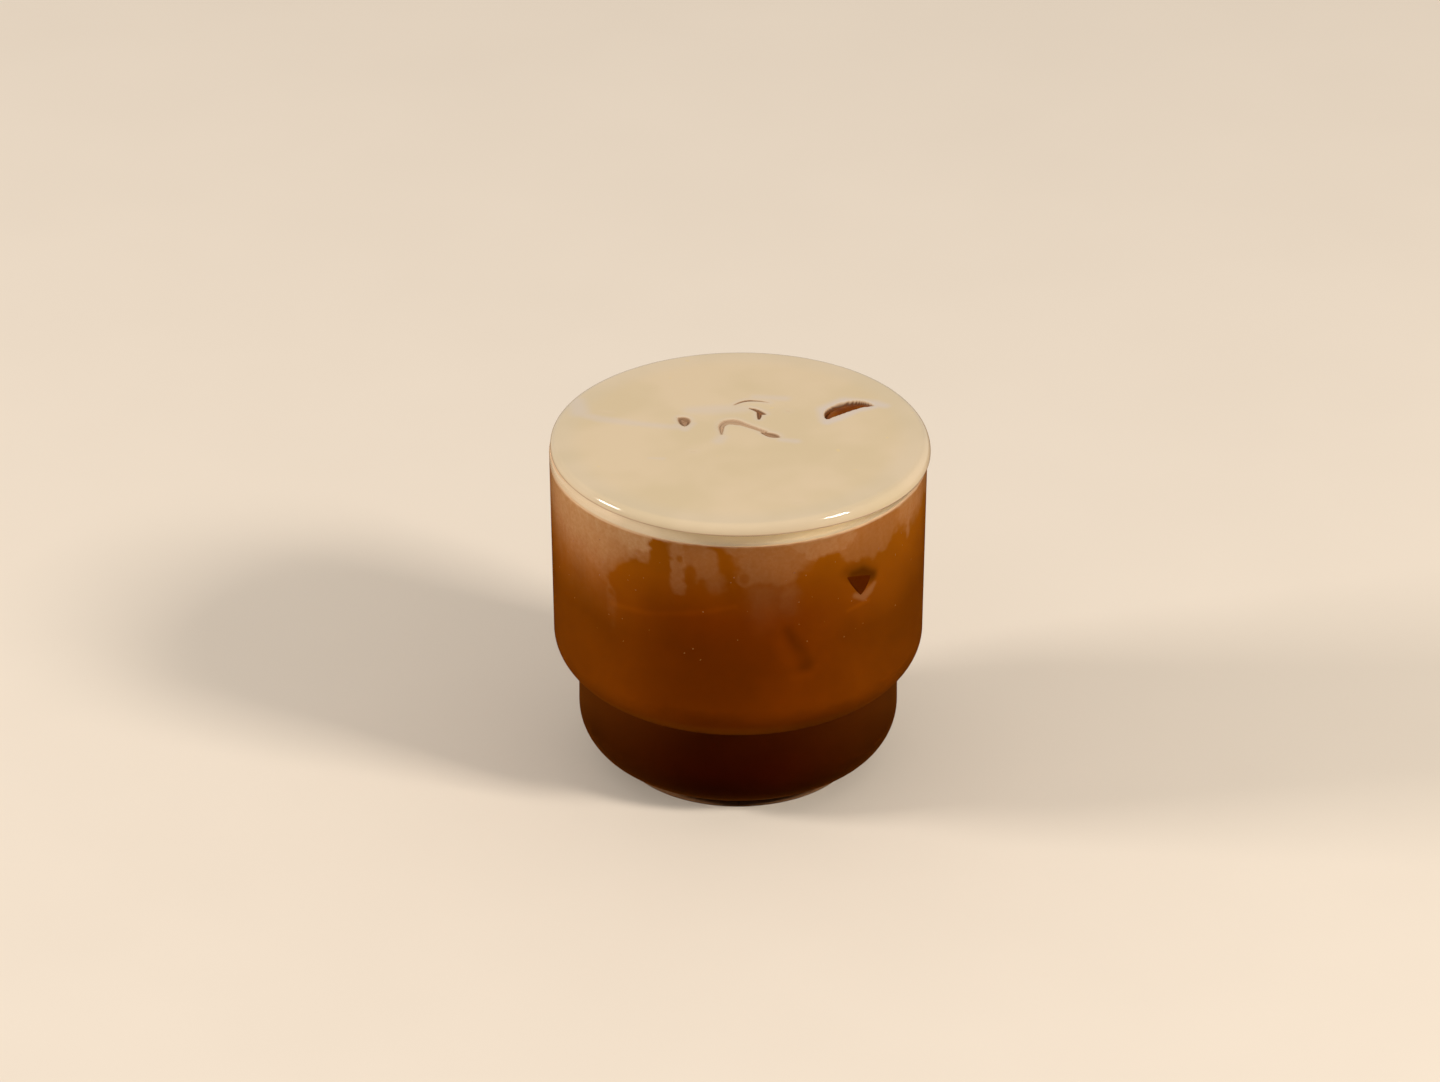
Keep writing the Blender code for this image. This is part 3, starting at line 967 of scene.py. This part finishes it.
# %% [markdown]
# ## Hollows in the foam
# Where the ice comes up, the foam draws back from it and leaves narrow hollows. Each is a stroke:
# a line on the foam, in mm to the right and to the back of the middle, with a half width at each
# point. A smooth curve is laid through the points, and inside it the surface is pressed down. How
# dark the stroke looks and how far its pale, milky halo reaches are kept as attributes. So is how
# wet the foam is: its round edge carries a film that shines, its flat top and its hollows don't.

# %% Strokes on the foam
# The block that shows in it, how dark it looks, its depth in mm, and its points
HOLLOWS = [
    ("ice_right", 1.0, 1.5, [(20.9, 8.7, 0.35), (21.1, 9.9, 1.0), (22.2, 11.9, 1.9), (24.4, 14.0, 2.2),
                             (26.9, 15.5, 2.0), (29.0, 15.9, 1.4), (31.6, 15.2, 0.1)]),
    ("ice_middle", 0.45, 0.7, [(-3.9, 0.9, 0.2), (-3.95, 3.4, 0.6), (-3.8, 5.4, 0.8), (-2.7, 6.9, 1.15),
                               (-1.2, 7.1, 1.3), (0.0, 6.6, 1.15), (1.05, 6.0, 0.85), (3.7, 4.0, 0.65),
                               (6.2, 2.1, 0.6)]),
    ("ice_middle", 0.66, 0.7, [(5.6, 1.6, 0.4), (7.4, 0.5, 1.0), (8.5, -0.1, 0.9), (9.6, -0.8, 0.1)]),
    ("ice_back", 0.86, 0.8, [(2.7, 13.9, 0.2), (4.2, 12.9, 0.5), (5.6, 11.3, 0.55), (6.4, 10.8, 0.1)]),
    ("ice_back", 0.86, 0.8, [(4.8, 12.0, 0.5), (4.9, 10.2, 0.55), (4.8, 8.5, 0.3)]),
    ("ice_back", 0.75, 0.3, [(-1.0, 15.5, 0.1), (0.6, 16.9, 0.28), (2.4, 17.6, 0.34), (4.9, 17.4, 0.2),
                            (7.4, 16.6, 0.02)]),
    ("ice_left", 0.64, 0.8, [(-13.7, 9.3, 0.4), (-12.7, 8.3, 1.4), (-12.5, 6.8, 1.15), (-12.5, 5.4, 0.3)]),
    (None, 0.16, 0.1, [(11.3, 12.4, 0.3), (12.0, 12.1, 0.3)]),
    (None, 0.14, 0.1, [(-11.0, -7.4, 0.25), (-10.1, -7.6, 0.25)]),
    (None, 0.12, 0.1, [(-32.2, 13.1, 0.3), (-31.2, 12.7, 0.2), (-29.9, 12.4, 0.3)]),
    (None, 0.08, 0.1, [(13.2, -32.6, 0.3), (14.4, -32.2, 0.3)]),
]
# Milky haze: its strength, how soft its edge is in mm, and its points
HAZES = [
    (0.75, 2.2, [(20.2, 7.4, 0.2), (20.6, 12.8, 1.2), (25.0, 16.8, 1.2), (31.8, 15.9, 0.8),
                 (34.2, 15.0, 0.1)]),
    (0.8, 1.6, [(20.6, 6.6, 0.6), (23.6, 8.6, 0.4), (27.5, 12.6, 0.4), (31.5, 14.6, 0.5)]),
    (0.45, 2.0, [(-36.7, 12.0, 0.4), (-32.2, 9.3, 0.6), (-22.9, 6.4, 0.3), (-15.0, 4.6, 0.2)]),
    (0.5, 3.0, [(-38.0, 18.5, 0.6), (-37.0, 13.0, 0.8)]),
    (0.4, 3.0, [(-11.0, 13.0, 0.3), (-5.0, 13.2, 0.9), (1.0, 13.5, 0.4)]),
    (0.45, 2.0, [(4.0, 19.4, 0.2), (11.0, 18.6, 0.3)]),
    (0.55, 1.6, [(10.0, -2.2, 0.2), (13.5, -3.0, 0.3)]),
    (0.45, 2.2, [(-4.6, -2.6, 0.4), (-3.8, -0.8, 0.3)]),
    (0.5, 1.6, [(-14.6, 5.4, 0.2), (-12.4, 3.4, 0.3), (-10.6, 6.2, 0.1)]),
    (0.35, 0.8, [(-20.6, -10.6, 0.1), (-17.4, -11.0, 0.3)]),
]
HOLLOW_CUTS = 5
HOLLOW_WALL = 0.7
DARK_EDGE = (-0.22, 0.18)
HALO_REACH = 1.7
HALO_STRENGTH = 0.5
HAZE_INSIDE = 0.3
TOP_FROM_Z = FOAM_EDGE_Z + FOAM_EDGE_ROUND * 0.9
# The radii in mm between which the wet film begins, and the darkness by which it ends
WET_FROM_TO = (35.0, 41.0)
DRY_DARKNESS = (0.05, 0.4)
# Painted shade: a thin dark line along the bottom of the lip, where the foam meets the rim; how high it
# reaches and how dark it is
CONTACT_SHADE_LINE = 0.1 * MM
CONTACT_SHADE_DARKNESS = 0.35
# The heights above the drink, in mm, and the shares to the right between which the foam on the
# wall comes into the shade of its lip
UNDER_LIP_FROM_TO = (0.4, 2.0)
UNDER_LIP_SIDE = (-0.6, 0.1)


def rounded(stroke):
    """The stroke with more points, on a smooth curve through the given ones."""
    given = [np.array(point) for point in stroke]
    given = [2 * given[0] - given[1]] + given + [2 * given[-1] - given[-2]]
    points = []
    for before, start, end, after in zip(given, given[1:], given[2:], given[3:]):
        bend = 2 * before - 5 * start + 4 * end - after
        twist = 3 * (start - end) + after - before
        for share in np.arange(HOLLOW_CUTS) / HOLLOW_CUTS:
            points.append(start + ((end - before) * share + bend * share ** 2 + twist * share ** 3) / 2)
    return points + [given[-2]]


def press_hollows(x, y):
    """At each place: how deep the foam is pressed, how dark it looks, and how milky it is."""
    deep = np.zeros(len(x))
    dark = np.zeros(len(x))
    milky = np.zeros(len(x))
    for _, darkness, depth, stroke in HOLLOWS:
        margin = stroke_margin(x, y, rounded(stroke))
        deep = np.maximum(deep, depth * smooth_step(margin, -HOLLOW_WALL / 2, HOLLOW_WALL))
        dark = np.maximum(dark, darkness * smooth_step(margin, *DARK_EDGE))
        halo = smooth_step(margin, -HALO_REACH, 0.0)
        milky = np.maximum(milky, HALO_STRENGTH * darkness * halo)
    for strength, soft, stroke in HAZES:
        margin = stroke_margin(x, y, stroke)
        milky = np.maximum(milky, strength * smooth_step(margin, -soft, HAZE_INSIDE))
    return deep, dark, milky


def move_foam(x, y, z, deep):
    """Shape the cap and press its hollows into it."""
    new_x, new_y, new_z = shape_foam_cap(x * MM, y * MM, z * MM)
    places = np.stack((new_x, new_y, new_z - deep * MM), axis=1).astype(np.float32)
    foam.data.vertices.foreach_set("co", places.ravel())
    foam.data.update()


def paint_foam(x, y, z, dark, milky):
    """Keep how dark, milky and wet each point is, with painted shade along the lip's bottom edge, and how
    far it lies in the shade of the lip.
    """
    r = np.hypot(x, y)
    on_top = z * MM > TOP_FROM_Z
    # Painted shade along the lip's bottom edge, kept in the same darkness attribute as the hollows
    on_lip = (z * MM < FOAM_EDGE_Z + CONTACT_SHADE_LINE) & (r * MM > RIM_RADIUS - WALL / 4)
    keep_attribute(foam, "dark", np.where(on_top, dark, np.where(on_lip, CONTACT_SHADE_DARKNESS, 0.0)))
    keep_attribute(foam, "milky", np.where(on_top, milky, 0.0))
    near_edge = np.where(on_top, smooth_step(r, *WET_FROM_TO), 1.0)
    keep_attribute(foam, "wet", near_edge * (1 - smooth_step(dark, *DRY_DARKNESS)))
    on_wall_inside = (z * MM < GLASS_HEIGHT) & (r * MM < RIM_RADIUS - WALL * 0.9)
    shaded = smooth_step(z - COFFEE_TOP_Z / MM, *UNDER_LIP_FROM_TO)
    shaded *= smooth_step(x / np.maximum(r, 1.0), *UNDER_LIP_SIDE)
    keep_attribute(foam, "under_lip", np.where(on_wall_inside, shaded, 0.0))


x, y, z = points_of(foam).T
deep, dark, milky = press_hollows(x, y)
deep = np.where(z * MM > TOP_FROM_Z, deep, 0.0)
move_foam(x, y, z, deep)
paint_foam(x, y, z, dark, milky)
print("foam up to", round(float(points_of(foam)[:, 2].max()), 2), "mm")
print("hollows", round(float(deep.max()), 2), "mm deep")

# %% [markdown]
# ## The finish of the foam
# Fine wet foam is almost one even beige: its bubbles are too small to see. What shows is a slow
# drift of colour, a few yellowish specks, and the wet film that mirrors the lights in the round
# edge. The film is the shader's coat. The hollows take their colour from a ramp on the attribute,
# and so does the painted shade along the bottom edge of the lip.
# The foam on the wall under its own lip gets less light here than the real one, whose glass gathers
# light from all round, so it is painted lighter there.

# %% Foam finish
FOAM_COLOURS = ((194, 174, 141), (200, 179, 148))
SPECK_COLOUR = (206, 182, 132)
MILKY_COLOUR = (192, 178, 167)
HOLLOW_COLOURS = [
    (0.0, (200, 179, 147)), (0.25, (188, 162, 134)), (0.45, (166, 136, 108)), (0.65, (134, 102, 74)),
    (0.85, (92, 62, 42)), (1.0, (104, 54, 10)),
]
UNDER_LIP_COLOUR = (255, 228, 174)
DRIFT_SIZE = 20 * MM
SPECK_SIZE = 2.2 * MM
SPECK_STRENGTH = 0.5
FINE_BUBBLE_SIZE = 0.5 * MM
FINE_BUBBLE_DEPTH = 0.004 * MM


def foam_finish():
    """Fine wet foam: pale beige, with milky haze and dark hollows."""
    material, tree, shader = new_material("wet_foam")
    place = place_in_object(tree)
    drift = fade(tree, speckle(tree, place, DRIFT_SIZE), 0.35, 0.65)
    colour = seen_between(tree, drift, FOAM_COLOURS)
    specks = fade(tree, speckle(tree, place, SPECK_SIZE, 1.0), 0.74, 0.82, 0.0, SPECK_STRENGTH)
    colour = mix_colours(tree, specks, colour, linear(*SPECK_COLOUR))
    colour = mix_colours(tree, attribute(tree, "milky"), colour, linear(*MILKY_COLOUR))
    # dark also carries the painted shade line along the bottom edge of the lip
    dark = attribute(tree, "dark")
    hollow = colour_ramp(tree, dark, HOLLOW_COLOURS)
    colour = mix_colours(tree, fade(tree, dark, 0.0, 0.2), colour, hollow)
    colour = mix_colours(tree, attribute(tree, "under_lip"), colour, linear(*UNDER_LIP_COLOUR))
    wet = attribute(tree, "wet")
    set_sockets(tree, shader, Base_Color=colour, Roughness=0.6, Specular_IOR_Level=0.1)
    set_sockets(tree, shader, Coat_Weight=wet, Coat_IOR=1.42, Coat_Roughness=0.055)
    bump(tree, shader, speckle(tree, place, FINE_BUBBLE_SIZE, 3.0), FINE_BUBBLE_DEPTH)
    return material


foam.data.materials.append(foam_finish())
print("foam finish", foam.data.materials[0].name)

# %% [markdown]
# ## Ice
# Half-melted blocks of ice stand in the drink. Each is the solid block with a softer surface, let
# down so that it stays under the foam. What shows is its worn edge, which lies in the foam's
# hollow: a curve with a round bevel, as thick at each point as the hollow is wide. A thin film of
# foam still lies on some of the edges.

# %% Shape of the ice
ICE_LOWERED = 2.4 * MM
EDGE_BELOW_FOAM = {"ice_right": 0.30, "ice_middle": 0.30, "ice_back": 0.35, "ice_left": 0.35}
EDGE_WIDER = 0.25


def soft_block(node):
    """The solid block, subdivided and let down."""
    block = add_object(node + "_block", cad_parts[node].data.copy())
    block.data.materials.clear()
    block.data.transform(Matrix.Translation((0.0, 0.0, -ICE_LOWERED)))
    soft = block.modifiers.new("soft", "SUBSURF")
    soft.levels = 1
    soft.render_levels = 1
    block.data = finished_mesh(block)
    block.modifiers.clear()
    return block


def worn_edge(node, stroke):
    """The worn edge of a block along a stroke: a closed tube of changing thickness."""
    curve = bpy.data.curves.new(node + "_edge", "CURVE")
    curve.dimensions = "3D"
    curve.bevel_depth = 1.0 * MM
    curve.bevel_resolution = 5
    curve.use_fill_caps = True
    spline = curve.splines.new("NURBS")
    spline.points.add(len(stroke) - 1)
    for point, (x, y, half_width) in zip(spline.points, stroke):
        thick = half_width + EDGE_WIDER
        level = foam_top_z(math.hypot(x, y) * MM) + heap_at(x * MM, y * MM)
        z = level - (EDGE_BELOW_FOAM[node] + thick) * MM
        point.co = (x * MM, y * MM, z, 1.0)
        point.radius = thick
    spline.order_u = 3
    spline.use_endpoint_u = True
    spline.resolution_u = 8
    piece = add_object(node + "_edge", curve)
    tube = finished_mesh(piece)
    bpy.data.objects.remove(piece)
    return tube


def film_of_foam(piece, node):
    """How much foam still lies on each point: less, the darker the hollow it lies in."""
    x, y, _ = points_of(piece).T
    strokes = [(darkness, stroke) for owner, darkness, _, stroke in HOLLOWS if owner == node]
    nearest = np.argmax([stroke_margin(x, y, stroke) for _, stroke in strokes], axis=0)
    return 1 - np.array([darkness for darkness, _ in strokes])[nearest]


def make_ice(node):
    """A block and its worn edges, as one mesh."""
    block = soft_block(node)
    joined = bmesh.new()
    joined.from_mesh(block.data)
    for owner, _, _, stroke in HOLLOWS:
        if owner == node:
            joined.from_mesh(worn_edge(node, stroke))
    bmesh.ops.remove_doubles(joined, verts=joined.verts[:], dist=0.001 * MM)
    joined.to_mesh(block.data)
    joined.free()
    block.data.materials.clear()
    block.data.shade_smooth()
    keep_attribute(block, "film", film_of_foam(block, node))
    keep(block, node)
    return block


# %% [markdown]
# ## The finish of the ice
# Clear ice over coffee looks as dark and amber as the drink itself. Real transparency would show
# the opaque drink right behind it, so the ice is painted with that colour in soft clouds, under a
# thin wet coat. Where a film of foam still lies on it, it is as pale as the foam.

# %% Ice finish
ICE_COLOURS = ((98, 44, 0), (118, 61, 4))
FILM_COLOUR = (205, 178, 145)
ICE_CLOUD_SIZE = 3 * MM


def ice_finish():
    """Clear wet ice over dark coffee, under a film of foam where it still has one."""
    material, tree, shader = new_material("wet_ice")
    place = place_in_object(tree)
    clouds = fade(tree, speckle(tree, place, ICE_CLOUD_SIZE), 0.35, 0.65)
    colour = seen_between(tree, clouds, ICE_COLOURS)
    colour = mix_colours(tree, attribute(tree, "film"), colour, linear(*FILM_COLOUR))
    set_sockets(tree, shader, Base_Color=colour, Roughness=0.4, Specular_IOR_Level=0.05)
    set_sockets(tree, shader, Coat_Weight=0.03, Coat_Roughness=0.15)
    return material


wet_ice = ice_finish()
for node in ("ice_right", "ice_middle", "ice_back", "ice_left"):
    make_ice(node).data.materials.append(wet_ice)
